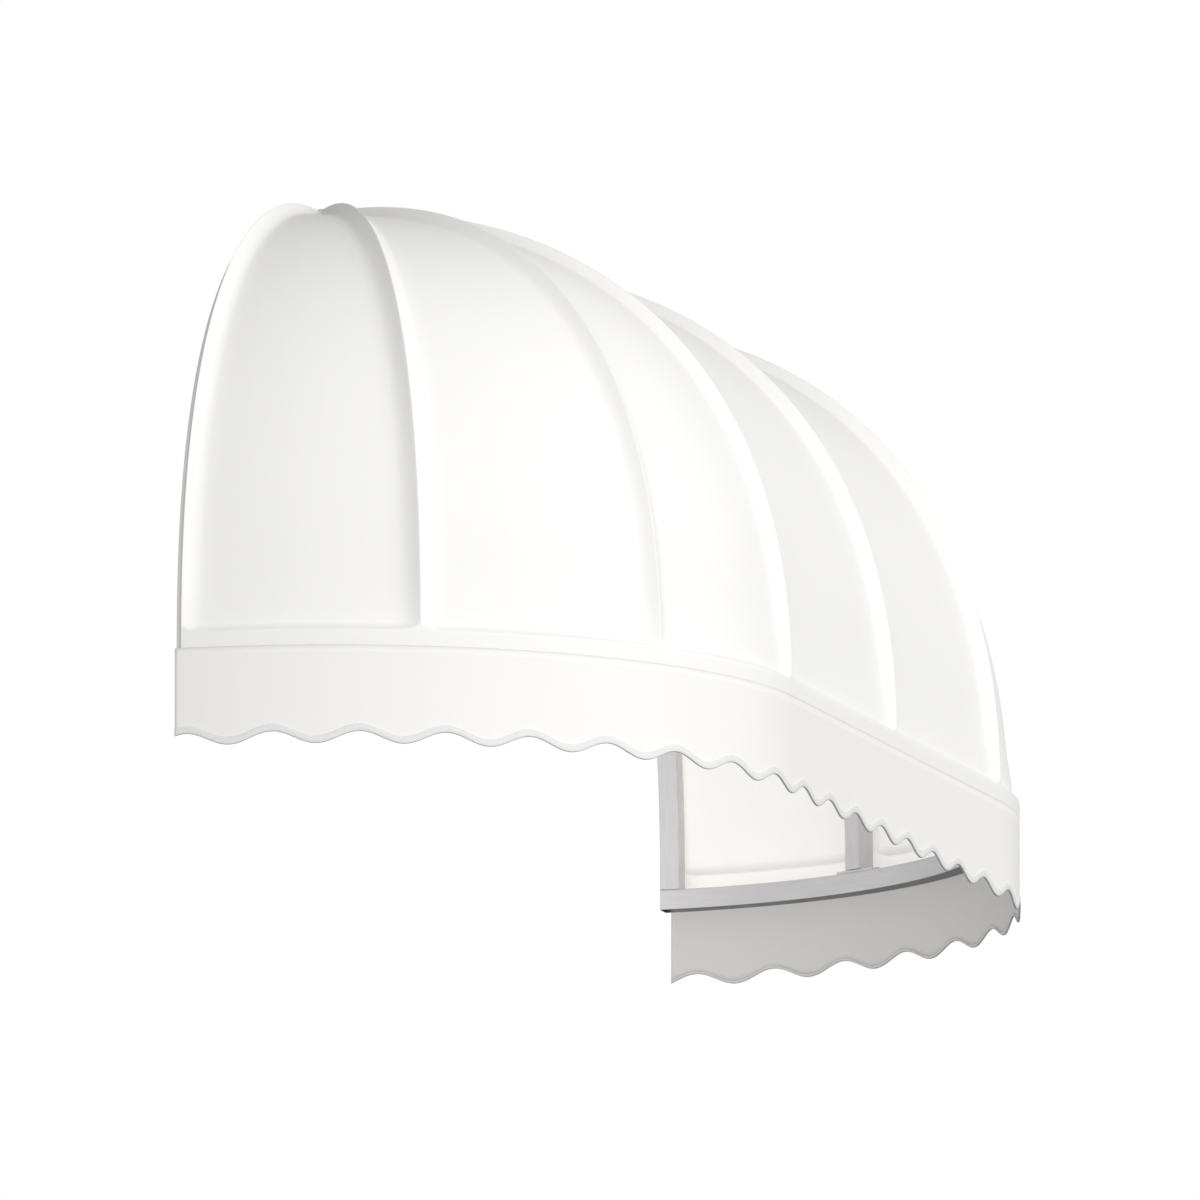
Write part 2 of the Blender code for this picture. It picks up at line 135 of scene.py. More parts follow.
class AwningFinish(PropertyGroup):
    """Colours of the cloth, the tape, the frame and the studio."""

    cloth: colour("Cloth", "Colour of the cover", (0.86, 0.855, 0.84))
    hanging: colour("Valance", "Colour of the valance's outer side", (0.85, 0.843, 0.832))
    # Painted shade: a darker copy of the cloth for the valance's inner side and the tape's lower and inner faces,
    # standing in for the shade inside the awning and under the edge.
    lining: colour("Lining", "Colour of the valance's inner side", (0.53, 0.525, 0.52))
    tape: colour("Tape", "Colour of the binding tape", (0.785, 0.785, 0.785))
    aluminium: colour("Aluminium", "Colour of the tube frame", (0.61, 0.60, 0.605))
    # Painted shade: a much darker copy of the aluminium for the base rail's bottom faces, standing in for the shade
    # under the rail.
    underside: colour("Underside", "Colour of the base rail's dull underside", (0.17, 0.17, 0.175))
    floor: colour("Floor", "Colour of the studio floor", (0.80, 0.80, 0.80))
    weave: metres("Weave", "Pitch of the cloth's weave", 0.0011)
    key: FloatProperty(
        name="Key light", description="Strength of the soft lights round the awning", default=1.0, min=0.0, max=10.0
    )
    fill: FloatProperty(
        name="Fill light", description="Power of the lamp behind the open back",
        default=28.0, min=0.0, max=500.0, unit="POWER",
    )
    steps: IntProperty(name="Rib steps", description="Sections along each bent tube", default=56, min=8, max=200)


# ---- Form of the awning


def quarter(s):
    """Angles of the plan's quarter ellipse and the length of rim from the wall to each, summed from chords."""
    angle = np.linspace(0.0, math.pi / 2, 1441)
    run = np.hypot(np.diff(s.end_reach * np.cos(angle)), np.diff(s.projection * np.sin(angle)))
    return angle, np.concatenate([[0.0], np.cumsum(run)])


def rim_length(s):
    """Twice the quarter's length plus the straight part."""
    return 2 * float(quarter(s)[1][-1]) + s.straight


def stations(s, rim):
    """For lengths of rim from the left wall: the centre's x, and cos and sin of the angle round the end.

    On the straight part the centre moves along and the two are 0 and 1.
    """
    angle, length = quarter(s)
    whole = rim_length(s)
    near = np.minimum(rim, whole - rim)
    turn = np.interp(near, length, angle)
    side = np.where(rim < whole / 2, -1.0, 1.0)
    on_end = near < length[-1]
    centre = np.where(on_end, side * s.straight / 2, rim - length[-1] - s.straight / 2)
    return centre, np.where(on_end, side * np.cos(turn), 0.0), np.where(on_end, np.sin(turn), 1.0)


def plan(s, rim, inset, reach=1.0):
    """x = centre + cos * (end reach - inset) * reach, y = -sin * (projection - inset) * reach."""
    centre, along, out = stations(s, rim)
    return centre + along * (s.end_reach - inset) * reach, -out * (s.projection - inset) * reach


def height_share(s, reach):
    """Share of the rise over a share of the reach, from reach^n + height^n = 1."""
    return (1 - np.clip(reach, 0, 1) ** s.fullness) ** (1 / s.fullness)


def rim_normal(s, rim, inset):
    """Unit vectors square to the plan's ellipse, pointing out: (cos / a, -sin / b), made unit."""
    _, along, out = stations(s, rim)
    away = np.stack([along / (s.end_reach - inset), -out / (s.projection - inset), 0 * out], axis=-1)
    return away / np.linalg.norm(away, axis=-1, keepdims=True)


def rib_rims(s):
    """Lengths of rim of the left wall arch and the four ribs up to the middle one."""
    angle, length = quarter(s)
    ends = [float(np.interp(a, angle, length)) for a in (s.outer_rib, s.inner_rib)]
    return [0.0, *ends, float(length[-1]), rim_length(s) / 2]


# ---- Meshes from grids


def place(name, points, faces, uv, stands_for, material, weld=1e-6, crisp=None):
    """Object of one mesh in place of CAD nodes, from points above the rim and faces with a UV for each corner."""
    points = np.asarray(points, float).reshape(-1, 3) + (0.0, 0.0, RIM_LEVEL)
    faces = np.asarray(faces).reshape(-1, 4)
    mesh = bpy.data.meshes.new(name)
    mesh.from_pydata(points.tolist(), [], faces.tolist())
    layer = mesh.uv_layers.new(name="cloth")
    layer.data.foreach_set("uv", np.asarray(uv, np.float32).ravel())
    body = bmesh.new()
    body.from_mesh(mesh)
    bmesh.ops.remove_doubles(body, verts=body.verts, dist=weld)
    body.to_mesh(mesh)
    body.free()
    mesh.shade_smooth()
    if crisp is not None:
        mesh.set_sharp_from_angle(angle=crisp)
    mesh.materials.append(material)
    piece = bpy.data.objects.new(name, mesh)
    bpy.context.scene.collection.objects.link(piece)
    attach(piece, "root")
    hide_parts(*stands_for)
    return piece


def grid_faces(rows, columns):
    """Four corners of each cell of a grid: (i, j), (i, j+1), (i+1, j+1), (i+1, j)."""
    cell = np.arange(rows * columns).reshape(rows, columns)
    return np.stack([cell[:-1, :-1], cell[:-1, 1:], cell[1:, 1:], cell[1:, :-1]], axis=-1)


def cell_corners(values):
    """A grid's values at the four corners of each cell, in the order of grid_faces."""
    return np.stack([values[:-1, :-1], values[:-1, 1:], values[1:, 1:], values[1:, :-1]], axis=-1)


def thicken(piece, thickness):
    """Gives a sheet its thickness, measured inwards."""
    thick = piece.modifiers.new("cloth_thickness", "SOLIDIFY")
    thick.thickness = thickness
    thick.offset = -1.0
    return thick


def turn_outwards(piece, fill=False):
    """Turns all of a closed piece's faces outwards, after filling its open ends where asked."""
    body = bmesh.new()
    body.from_mesh(piece.data)
    if fill:
        bmesh.ops.holes_fill(body, edges=[e for e in body.edges if e.is_boundary])
    bmesh.ops.recalc_face_normals(body, faces=body.faces)
    body.to_mesh(piece.data)
    body.free()


def finish_modifiers(piece):
    """Puts the result of a piece's modifiers into its mesh."""
    graph = bpy.context.evaluated_depsgraph_get()
    mesh = bpy.data.meshes.new_from_object(piece.evaluated_get(graph))
    piece.modifiers.clear()
    piece.data = mesh


# ---- Cover


def cover_reaches(s):
    """Shares of the reach of the cover's rows, from the rim to the wall: dense over the band's slope and last ridge.

    Between them the rows lie at cos(t)^(2 / n) for even turns t.
    """
    slope = np.array([0.06, 0.15, 0.28, 0.42, 0.6, 0.8, 1.0])
    flank = np.array([1, 0.8, 0.6, 0.42, 0.28, 0.16, 0.07])
    crest = np.array([1, 0.93, 0.8, 0.6, 0.4, 0.2, 0])
    low = np.concatenate([np.linspace(0, s.band, 6), s.band + s.band_flank * slope])
    high = np.concatenate([s.wall_crest + s.flank * flank, s.wall_crest * crest])
    low = height_share(s, low / s.rise)
    high = high / s.projection
    start = math.asin(float(height_share(s, low[-1])) ** (s.fullness / 2))
    end = math.acos(high[0] ** (s.fullness / 2))
    turns = np.linspace(start, end, 66)[1:-1]
    return np.concatenate([low, np.cos(turns) ** (2 / s.fullness), high])


def flank_width(s, reach):
    """Width of a ridge's flank: full at the rim and just over half where the ribs meet at the wall."""
    return s.flank * (0.55 + 0.45 * np.clip(reach, 0, 1))


def cover_columns(s, reach):
    """Rim length of every row's columns, and the panel of each strip between them.

    Steps bunch at the ridges. A ridge's width in metres hardly changes up the cover, so its share of the rim grows.
    """
    crests = rib_rims(s)
    bunch = np.array([0.03, 0.08, 0.15, 0.25, 0.37, 0.5, 0.65, 0.82, 1.0])
    parts, panels = [], []
    for k in range(4):
        start, width = crests[k], crests[k + 1] - crests[k]
        scale = np.maximum(reach, 1e-3) if k < 3 else np.ones_like(reach)
        flank = np.minimum(flank_width(s, reach) / scale, 0.4 * width)[:, None]
        wall = np.minimum(s.wall_crest / scale, 0.2 * width)[:, None] if k == 0 else np.zeros_like(flank)
        inner = np.linspace(0, 1, 17)[1:-1]
        pieces = [start + wall * np.array([0, 0.2, 0.4, 0.6, 0.8, 0.93])] if k == 0 else []
        pieces += [start + wall, start + wall + flank * bunch]
        pieces += [start + wall + flank + (width - wall - 2 * flank) * inner, start + width - flank * bunch[::-1]]
        part = np.concatenate([np.broadcast_to(p, (len(reach), p.shape[1])) for p in pieces], axis=1)
        parts.append(part)
        panels += [k] * part.shape[1]
    left = np.concatenate(parts, axis=1)
    middle = np.full((len(reach), 1), crests[4])
    right = rim_length(s) - left[:, ::-1]
    panels = np.array(panels)
    return np.concatenate([left, middle, right], axis=1), np.concatenate([panels, 7 - panels[::-1]])


def sink(s, rim, reach):
    """Depth of the cover behind its ridges: D * f * (1 - q^2).

    q is how far out from a panel's floor a point lies, on a rounded rectangle, and f grows from 0.6 at the band to 1.
    """
    whole = rim_length(s)
    crests = rib_rims(s)[1:]
    crests = np.array(crests + [whole - c for c in crests[:-1]])
    near = np.minimum(rim, whole - rim)
    scale = np.where(near < quarter(s)[1][-1], reach, 1.0)
    side = np.abs(rim[..., None] - crests).min(axis=-1) * scale
    side = np.hypot(side, s.crest) - s.crest
    y = -plan(s, rim, 0.0, reach)[1]
    z = s.rise * height_share(s, reach * np.ones_like(rim))
    wall = np.hypot(np.maximum(y - s.wall_crest, 0), s.crest) - s.crest
    flank = flank_width(s, reach)
    parts = [np.clip(1 - distance, 0, 1) for distance in (side / flank, (z - s.band) / s.band_flank, wall / flank)]
    q = np.clip(np.sqrt(sum(p**2 for p in parts)), 0, 1)
    rising = np.clip((z - s.band) / s.deepening, 0, 1)
    full = 0.6 + 0.4 * rising**2 * (3 - 2 * rising)
    behind = 1 - np.clip(y / s.wall_crest, 0, 1) ** 2
    return s.panel_depth * np.where(y < s.wall_crest, behind, full * (1 - q**2))


class AWNING_OT_cover(Operator):
    """Stretched cloth cover: ridges over the ribs, sunk panels and a full band round the rim"""

    bl_idname = "awning.cover"
    bl_label = "Cover"

    def execute(self, context):
        s = context.scene.awning_sizes
        reach = cover_reaches(s)
        rim, panels = cover_columns(s, reach)
        share_of = reach[:, None] * np.ones_like(rim)
        inset = sink(s, rim, share_of)
        x, y = plan(s, rim, inset, share_of)
        z = (s.rise - inset) * height_share(s, share_of)
        rows = [np.stack([x, y, z], axis=-1)]
        base = rim[0]
        for height in (0.0, -s.tail * 0.5, -s.tail):
            tx, ty = plan(s, base, s.panel_depth + (0.0 if height else -TAIL_GAP))
            rows.insert(0, np.stack([tx, ty, np.full_like(tx, height - (0.0 if height else FIT * 0.5))], axis=-1)[None])
        points = np.concatenate(rows)
        rim = np.concatenate([np.repeat(rim[:1], 3, axis=0), rim])
        spread = np.concatenate([np.ones((3, 1)), reach[:, None]]) * np.ones_like(rim)
        run = np.linalg.norm(np.diff(points[:, points.shape[1] // 2], axis=0), axis=-1)
        up = np.concatenate([[0.0], np.cumsum(run)])[:, None] * np.ones_like(rim)
        crests = rib_rims(s)
        crests = np.array(crests + [rim_length(s) - c for c in reversed(crests[:-1])])
        middle = (crests[:-1] + crests[1:])[panels] / 2
        on_end = (panels < 3) | (panels > 4)
        narrowing = np.where(on_end[None, :, None], cell_corners(spread), 1.0)
        across = (cell_corners(rim) - middle[None, :, None]) * narrowing
        uv = np.stack([across + panels[None, :, None] * 1.7, cell_corners(up)], axis=-1)
        faces = grid_faces(*rim.shape)
        cloth = cloth_material(context)
        piece = place("cover_cloth", points, faces, uv, ["cover"], cloth, COVER_WELD, CRISP_CLOTH)
        thicken(piece, s.cloth)
        return {"FINISHED"}


# ---- Valance


def scallop_edge(s, rim):
    """Height of the finished lower edge: -drop + half the scallop height * cos(2 pi (rim / pitch - first))."""
    return -s.drop + s.scallop / 2 * np.cos(2 * math.pi * (rim / s.pitch - s.first))


def valance_rims(s, steps):
    """Rim lengths of the valance's columns: even, with a number of steps to each scallop."""
    start, end = 0.002, rim_length(s) - 0.002
    return np.linspace(start, end, round((end - start) / s.pitch * steps) + 1)


class AWNING_OT_valance(Operator):
    """Strip of cloth that hangs from the rim, scalloped below, with a tape folded round its edge"""

    bl_idname = "awning.valance"
    bl_label = "Valance and binding"

    def execute(self, context):
        s = context.scene.awning_sizes
        rim = valance_rims(s, 24)
        low = scallop_edge(s, rim) + 0.0012
        down = np.linspace(0, 1, 13)[:, None]
        z = -0.0001 + (low + 0.0001) * down
        rims = rim * np.ones_like(z)
        x, y = plan(s, rims, VALANCE_INSET)
        points = np.stack([x, y, z], axis=-1)[::-1]
        uv = np.stack([cell_corners(rims[::-1]), cell_corners(z[::-1])], axis=-1)
        cloth = cloth_material(context, "valance_cloth", "hanging")
        valance = place("valance_cloth", points, grid_faces(*z.shape), uv, ["valance"], cloth)
        # The valance's inner skin takes the darker inner tone: painted shade inside the awning.
        valance.data.materials.append(cloth_material(context, "valance_lining", "lining"))
        thicken(valance, s.cloth).material_offset = 1
        tape = self.binding(context, s)
        return {"FINISHED"}

    def binding(self, context, s):
        """Profile of (inset, height over the edge) carried along the scallops, with sine puckers of 0.08 mm each way."""
        rim = valance_rims(s, 40)
        edge = scallop_edge(s, rim)
        w = s.tape
        ring = np.array([
            (0.0001, w), (-0.0006, w - 0.0003), (-0.0010, w - 0.0012), (-0.0011, w * 0.5), (-0.0011, 0.0016),
            (-0.0006, 0.0004), (0.0006, 0.0), (0.0018, 0.0004), (0.0024, 0.0016), (0.0024, 0.0032),
            (0.0017, 0.0034), (0.0016, 0.0014), (0.0001, 0.0011),
        ])
        puckered = np.array([0, 1, 1, 0.3, 1, 0.5, 0, 0, 0, 0, 0, 0, 0])
        pucker = 0.00008 * np.sin(2 * math.pi * rim / 0.0053)[:, None] * puckered
        inset = ring[:, 0] - pucker
        inset = np.concatenate([inset, inset[:, :1]], axis=1)
        height = edge[:, None] + np.append(ring[:, 1], ring[0, 1])
        rims = rim[:, None] * np.ones_like(height)
        x, y = plan(s, rims, inset)
        around = np.append(0.0, np.cumsum(np.hypot(*np.diff(np.vstack([ring, ring[:1]]), axis=0).T)))
        uv = np.stack([cell_corners(rims), cell_corners(around * np.ones_like(rims))], axis=-1)
        points = np.stack([x, y, height], axis=-1)
        cloth = tape_material(context)
        tape = place("valance_tape", points, grid_faces(*rims.shape), uv, ["valance_binding"], cloth)
        # The tape's lower and inner faces take the darker inner tone: painted shade along the lower edge.
        tape.data.materials.append(cloth_material(context, "valance_lining", "lining"))
        behind = np.tile(np.arange(len(ring)) >= 5, len(rim) - 1)
        tape.data.polygons.foreach_set("material_index", behind.astype(np.int32))
        turn_outwards(tape, fill=True)
        return tape


# ---- Frame


def square_ring(s):
    """Outer and inner outline of the tube as (depth below the outer face, side), a rounded square each."""
    half, r = s.tube / 2, s.tube_corner
    turn = np.radians(np.array([0, 30, 60, 90]))
    loops = []
    for side, radius in ((half, r), (half - s.tube_wall, r * 0.4)):
        corners = []
        for k in range(4):
            a = turn + k * math.pi / 2
            diagonal = math.pi / 4 + k * math.pi / 2
            corner = (side - radius) * math.sqrt(2) * np.array([math.cos(diagonal), math.sin(diagonal)])
            corners.append(corner + radius * np.stack([np.cos(a), np.sin(a)], axis=1))
        loops.append(np.concatenate(corners))
    return loops


def tube_grid(s, path, outward, across):
    """Outer and inner skins of a square tube: path - outward * depth + across * side, for each section."""
    skins = []
    for loop in square_ring(s):
        depth = s.tube / 2 - loop[:, 0]
        skins.append(path[:, None] - outward[:, None] * depth[None, :, None] + across[:, None] * loop[None, :, 1, None])
    return skins


def tube_piece(context, name, skins, stands_for, run, holes=()):
    """Closed hollow tube from its two skins, joined by rings at both ends."""
    outer, inner = skins
    rows, columns = outer.shape[:2]
    wrap = np.concatenate([outer, outer[:, :1]], axis=1)
    inside = np.concatenate([inner, inner[:, :1]], axis=1)
    faces = grid_faces(rows, columns + 1).reshape(-1, 4)
    count = rows * (columns + 1)
    rings = []
    for row in (0, rows - 1):
        a = row * (columns + 1) + np.arange(columns)
        rings.append(np.stack([a, a + 1, a + 1 + count, a + count], axis=1))
    every = np.concatenate([faces, faces[:, ::-1] + count, *rings])
    along = run[:, None] * np.ones((1, columns + 1))
    around = np.linspace(0, 4 * 0.0254, columns + 1) * np.ones((rows, 1))
    uv = np.stack([cell_corners(along), cell_corners(around)], axis=-1).reshape(-1, 4, 2)
    uv = np.concatenate([uv, uv[:, ::-1], np.zeros((2 * columns, 4, 2))])
    points = np.concatenate([wrap.reshape(-1, 3), inside.reshape(-1, 3)])
    metal = metal_material(context)
    piece = place(name, points, every, uv, stands_for, metal, TUBE_WELD, CRISP_TUBE)
    turn_outwards(piece)
    if holes:
        cut_holes(context, piece, holes)
    return piece


def cut_holes(context, piece, holes):
    """Round bolt holes through both walls of a tube against the wall, along Y."""
    cutter_mesh = bpy.data.meshes.new("hole_cutter")
    body = bmesh.new()
    for x, z in holes:
        made = bmesh.ops.create_cone(
            body, cap_ends=True, segments=32, radius1=BOLT_RADIUS, radius2=BOLT_RADIUS, depth=0.06
        )
        bmesh.ops.rotate(body, verts=made["verts"], cent=(0, 0, 0), matrix=Matrix.Rotation(math.pi / 2, 3, "X"))
        bmesh.ops.translate(body, verts=made["verts"], vec=(x, -0.0127, z + RIM_LEVEL))
    body.to_mesh(cutter_mesh)
    body.free()
    cutter = bpy.data.objects.new("hole_cutter", cutter_mesh)
    context.scene.collection.objects.link(cutter)
    cut = piece.modifiers.new("bolt_holes", "BOOLEAN")
    cut.operation = "DIFFERENCE"
    cut.object = cutter
    finish_modifiers(piece)
    bpy.data.objects.remove(cutter, do_unlink=True)


def rib_outline(s, reach, inset, shares):
    """Distance from the hub and height along a rib's outer edge, and the outline's outward normal there."""
    top = s.rise - inset
    high = height_share(s, shares)
    normal = np.stack([shares ** (s.fullness - 1) / reach, high ** (s.fullness - 1) / top], axis=1)
    return reach * shares, top * high, normal / np.linalg.norm(normal, axis=1)[:, None]


def even_shares(s, last, steps):
    """Shares of the reach along a rib, from 1 down to a last one: cos(t)^(2 / n) for even turns t."""
    turns = np.linspace(0.0, math.acos(last ** (s.fullness / 2)), steps + 1)
    return np.concatenate([[1.0], np.cos(turns[1:]) ** (2 / s.fullness)])


def slide(points, direction, on_plane, normal):
    """Moves points along a direction on to a plane."""
    return points + (((on_plane - points) @ normal) / (direction @ normal))[:, None] * direction


def rail_inset(s):
    """Distance of the base rail's outer face behind the rim."""
    return s.panel_depth + TAIL_GAP + FIT


def rib_inset(s):
    """Distance of the ribs' outer faces behind the ridges."""
    return rail_inset(s) + RIB_GAP


def end_direction(s, side, angle):
    """Unit direction from the hub to a rib's foot on a rounded end, (a cos, -b sin) made unit, and its length."""
    inset = rib_inset(s)
    run = np.array([side * (s.end_reach - inset) * math.cos(angle), -(s.projection - inset) * math.sin(angle), 0.0])
    reach = float(np.linalg.norm(run))
    return run / reach, reach


def upper_end(s, side, angle, away, centre, last):
    """Cuts a rib's top section flat on the wall tubes, or to a wedge between its neighbours for the inner rib."""
    tube = s.tube
    if angle != s.inner_rib:
        return slide(last, -away, np.array([0.0, -(tube + FIT), 0.0]), np.array([0.0, 1.0, 0.0]))
    first, _ = end_direction(s, side, s.outer_rib)
    beside = np.array([first[1], -first[0], 0.0])
    beside *= np.sign(beside @ away)
    hub = np.array([centre, 0.0, 0.0])
    to_first = ((last - hub) @ np.array([-away[1], away[0], 0.0])) * side > 0
    a = slide(last, -away, hub + beside * (tube / 2 + FIT), beside)
    b = slide(last, -away, hub + np.array([side * (tube / 2 + FIT), 0.0, 0.0]), np.array([1.0, 0.0, 0.0]))
    return np.where(to_first[:, None], a, b)


class AWNING_OT_ribs(Operator):
    """Seven bent square tubes that carry the cover's ridges"""

    bl_idname = "awning.ribs"
    bl_label = "Ribs"

    def execute(self, context):
        s, f = context.scene.awning_sizes, context.scene.awning_finish
        half = s.straight / 2
        ribs = [("middle_rib", 1, 0.0, None), ("corner_rib_left", -1, -half, None), ("corner_rib_right", 1, half, None)]
        for word, side in SIDES.items():
            ribs.append(("outer_rib_" + word, side, side * half, s.outer_rib))
            ribs.append(("inner_rib_" + word, side, side * half, s.inner_rib))
        for name, side, centre, angle in ribs:
            if angle is None:
                away, reach = np.array([0.0, -1.0, 0.0]), s.projection - rib_inset(s)
            else:
                away, reach = end_direction(s, side, angle)
            shares = even_shares(s, (2 if angle is None else 4) * s.tube / reach, f.steps)
            run, height, normal = rib_outline(s, reach, rib_inset(s), shares)
            up = np.array([0.0, 0.0, 1.0])
            path = np.array([centre, 0.0, 0.0]) + run[:, None] * away + height[:, None] * up
            outward = normal[:, :1] * away + normal[:, 1:] * up
            across = np.tile([-away[1], away[0], 0.0], (len(run), 1))
            skins = tube_grid(s, path, outward, across)
            for skin in skins:
                skin[-1] = upper_end(s, side, angle, away, centre, skin[-1])
            length = np.append(0.0, np.cumsum(np.hypot(np.diff(run), np.diff(height))))
            tube_piece(context, name + "_tube", skins, [name], length)
        return {"FINISHED"}


class AWNING_OT_wall_frame(Operator):
    """Tubes against the wall: an arch at each end and the header between them"""

    bl_idname = "awning.wall_frame"
    bl_label = "Arches and header"

    def execute(self, context):
        s, f = context.scene.awning_sizes, context.scene.awning_finish
        inset = rail_inset(s) + ARCH_GAP
        reach = s.end_reach - inset
        foot = float(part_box("wall_arch_left")[0][2]) - RIM_LEVEL
        for word, side in SIDES.items():
            run, height, normal = rib_outline(s, reach, inset, even_shares(s, 1e-6, f.steps))
            run, height = np.append(reach, run), np.append(foot, height)
            normal = np.vstack([[1.0, 0.0], normal])
            run[-1] = FIT
            path = np.stack([side * (s.straight / 2 + run), np.full_like(run, -s.tube / 2), height], axis=1)
            outward = np.stack([side * normal[:, 0], 0 * run, normal[:, 1]], axis=1)
            across = np.tile([0.0, 1.0, 0.0], (len(run), 1))
            length = np.append(0.0, np.cumsum(np.hypot(np.diff(run), np.diff(height))))
            level = float(height_share(s, ARCH_BOLT / (s.rise - inset - s.tube / 2)))
            hole = (side * (s.straight / 2 + (reach - s.tube / 2) * level), ARCH_BOLT)
            arch = "wall_arch_" + word
            tube_piece(context, arch + "_tube", tube_grid(s, path, outward, across), [arch], length, [hole])
        ends = np.array([-s.straight / 2, s.straight / 2])
        path = np.stack([ends, np.full(2, -s.tube / 2), np.full(2, s.rise - inset)], axis=1)
        up, across = np.tile([0.0, 0.0, 1.0], (2, 1)), np.tile([0.0, 1.0, 0.0], (2, 1))
        middle = s.rise - inset - s.tube / 2
        holes = [(-HEADER_BOLT, middle), (HEADER_BOLT, middle)]
        tube_piece(context, "header_bar", tube_grid(s, path, up, across), ["header_tube"], ends, holes)
        return {"FINISHED"}


class AWNING_OT_rail(Operator):
    """Base rail: square tube bent round the foot from wall to wall, and the plates on it"""

    bl_idname = "awning.rail"
    bl_label = "Base rail"

    def execute(self, context):
        s = context.scene.awning_sizes
        inset = rail_inset(s)
        whole = rim_length(s)
        bend = np.linspace(0, quarter(s)[1][-1], 61)
        rim = np.concatenate([bend, whole - bend[::-1]])
        x, y = plan(s, rim, inset)
        top = float(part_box("base_rail")[1][2]) - RIM_LEVEL
        path = np.stack([x, y, np.full_like(x, top - s.tube / 2)], axis=1)
        across = np.tile([0.0, 0.0, 1.0], (len(rim), 1))
        skins = tube_grid(s, path, rim_normal(s, rim, inset), across)
        rail = tube_piece(context, "base_rail_tube", skins, ["base_rail"], rim)
        # The rail's bottom faces take a much darker copy of the aluminium: painted shade under the rail.
        rail.data.materials.append(metal_material(context, "rail_underside", True, "underside"))
        faces = rail.data.polygons
        normal, centre = np.empty(len(faces) * 3), np.empty(len(faces) * 3)
        faces.foreach_get("normal", normal)
        faces.foreach_get("center", centre)
        below = (normal[2::3] < -0.9) & (centre[2::3] < centre[2::3].min() + 0.0005)
        faces.foreach_set("material_index", below.astype(np.int32))
        for name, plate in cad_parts.items():
            if name.startswith("foot_plate"):
                plate.data.materials.clear()
                plate.data.materials.append(metal_material(context, "plate_aluminium", False))
        return {"FINISHED"}


# ---- Materials


def new_group(name, inputs, outputs):
    """Shader node group with named inputs (name, kind, default) and outputs (name, kind)."""
    group = bpy.data.node_groups.new(name, "ShaderNodeTree")
    for label, kind, default in inputs:
        socket = group.interface.new_socket(label, in_out="INPUT", socket_type=kind)
        if default is not None:
            socket.default_value = default
    for label, kind in outputs:
        group.interface.new_socket(label, in_out="OUTPUT", socket_type=kind)
    return group, group.nodes.new("NodeGroupInput"), group.nodes.new("NodeGroupOutput")


def node(tree, kind, inputs=(), **settings):
    """Adds a node, sets its properties, and fills its inputs with values or links."""
    made = tree.nodes.new(kind)
    for key, value in settings.items():
        setattr(made, key, value)
    for key, value in dict(inputs).items():
        if isinstance(value, bpy.types.NodeSocket):
            tree.links.new(value, made.inputs[key])
        else:
            made.inputs[key].default_value = value
    return made


def maths(tree, operation, *values):
    return node(tree, "ShaderNodeMath", dict(enumerate(values)), operation=operation).outputs[0]


def weave_group():
    """Plain weave: warp and weft threads are half sines, each over the other on alternate squares of the pitch."""
    if "plain_weave" in bpy.data.node_groups:
        return bpy.data.node_groups["plain_weave"]
    inputs = [("Vector", "NodeSocketVector", None), ("Pitch", "NodeSocketFloat", 0.001)]
    group, start, end = new_group("plain_weave", inputs, [("Height", "NodeSocketFloat")])
    parts = node(group, "ShaderNodeSeparateXYZ", {0: start.outputs["Vector"]})
    u = maths(group, "DIVIDE", parts.outputs[0], start.outputs["Pitch"])
    v = maths(group, "DIVIDE", parts.outputs[1], start.outputs["Pitch"])
    warp = maths(group, "ABSOLUTE", maths(group, "SINE", maths(group, "MULTIPLY", u, math.pi)))
    weft = maths(group, "ABSOLUTE", maths(group, "SINE", maths(group, "MULTIPLY", v, math.pi)))
    square = maths(group, "ADD", maths(group, "FLOOR", u), maths(group, "FLOOR", v))
    odd = maths(group, "MODULO", maths(group, "ABSOLUTE", square), 2.0)
    mixed = node(group, "ShaderNodeMix", {0: odd, 2: warp, 3: weft}, data_type="FLOAT")
    group.links.new(mixed.outputs[0], end.inputs["Height"])
    return group


def mottle_group():
    """Soft patches: three octaves of noise stretched by Stretch, mapped from Low to High."""
    if "soft_mottle" in bpy.data.node_groups:
        return bpy.data.node_groups["soft_mottle"]
    inputs = [
        ("Vector", "NodeSocketVector", None), ("Stretch", "NodeSocketVector", (1.0, 1.0, 1.0)),
        ("Scale", "NodeSocketFloat", 5.0), ("Low", "NodeSocketFloat", 0.0), ("High", "NodeSocketFloat", 1.0),
    ]
    group, start, end = new_group("soft_mottle", inputs, [("Value", "NodeSocketFloat")])
    given = start.outputs
    scaled = node(group, "ShaderNodeVectorMath", {0: given["Vector"], 1: given["Stretch"]}, operation="MULTIPLY")
    octaves = {"Vector": scaled.outputs[0], "Scale": given["Scale"], "Detail": 3.0, "Roughness": 0.55}
    noise = node(group, "ShaderNodeTexNoise", octaves)
    spread = node(group, "ShaderNodeMapRange", {0: noise.outputs[0], 1: 0.3, 2: 0.7, 3: given["Low"], 4: given["High"]})
    group.links.new(spread.outputs[0], end.inputs["Value"])
    return group


def weave(tree, inputs):
    return node(tree, "ShaderNodeGroup", inputs, node_tree=weave_group()).outputs["Height"]


def mottle(tree, inputs):
    return node(tree, "ShaderNodeGroup", inputs, node_tree=mottle_group()).outputs["Value"]


def base_material(name):
    """New material and its Principled shader, or the one already made under that name and None."""
    if name in bpy.data.materials:
        return bpy.data.materials[name], None
    material = bpy.data.materials.new(name)
    material.use_nodes = True
    return material, material.node_tree.nodes["Principled BSDF"]


def shaded(tree, tone, value):
    """Colour scaled by a value that changes over the surface."""
    scaled = node(tree, "ShaderNodeVectorMath", {0: tuple(tone), "Scale": value}, operation="SCALE")
    return scaled.outputs[0]


